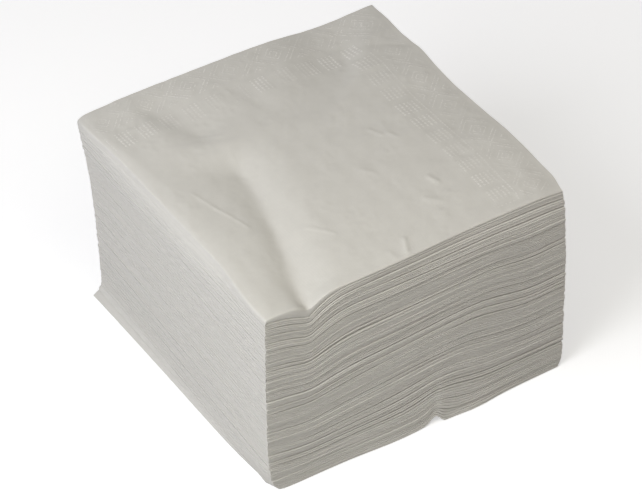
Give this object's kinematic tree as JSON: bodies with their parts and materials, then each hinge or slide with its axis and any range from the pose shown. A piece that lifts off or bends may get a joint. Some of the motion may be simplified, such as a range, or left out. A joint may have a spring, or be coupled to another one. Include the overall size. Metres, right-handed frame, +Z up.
{
  "type": "stack of paper napkins",
  "caption": "Square pile of white paper napkins, each a soft sheet folded into quarters, with its folds at the front and left and its cut edges at the right and back.",
  "frame": {"origin": "middle of the pile's square underside", "axes": "+Z up; +X along the front, from the second fold on the left to the cut edges on the right; +Y from the first fold at the front to the cut edges at the back"},
  "size_m": [0.165, 0.165, 0.1099],
  "materials": {
    "tissue": "matte"
  },
  "bodies": {
    "root": {"napkin_01": "tissue", "napkin_02": "tissue", "napkin_03": "tissue", "napkin_04": "tissue", "napkin_05": "tissue", "napkin_06": "tissue", "napkin_07": "tissue", "napkin_08": "tissue", "napkin_09": "tissue", "napkin_10": "tissue", "napkin_11": "tissue", "napkin_12": "tissue", "napkin_13": "tissue", "napkin_14": "tissue", "napkin_15": "tissue", "napkin_16": "tissue", "napkin_17": "tissue", "napkin_18": "tissue", "napkin_19": "tissue", "napkin_20": "tissue", "napkin_21": "tissue", "napkin_22": "tissue", "napkin_23": "tissue", "napkin_24": "tissue", "napkin_25": "tissue", "napkin_26": "tissue", "napkin_27": "tissue", "napkin_28": "tissue", "napkin_29": "tissue", "napkin_30": "tissue", "napkin_31": "tissue", "napkin_32": "tissue", "napkin_33": "tissue", "napkin_34": "tissue", "napkin_35": "tissue", "napkin_36": "tissue", "napkin_37": "tissue", "napkin_38": "tissue", "napkin_39": "tissue", "napkin_40": "tissue", "napkin_41": "tissue", "napkin_42": "tissue", "napkin_43": "tissue", "napkin_44": "tissue", "napkin_45": "tissue", "napkin_46": "tissue", "napkin_47": "tissue", "napkin_48": "tissue", "napkin_49": "tissue", "napkin_50": "tissue"}
  },
  "joints": []
}
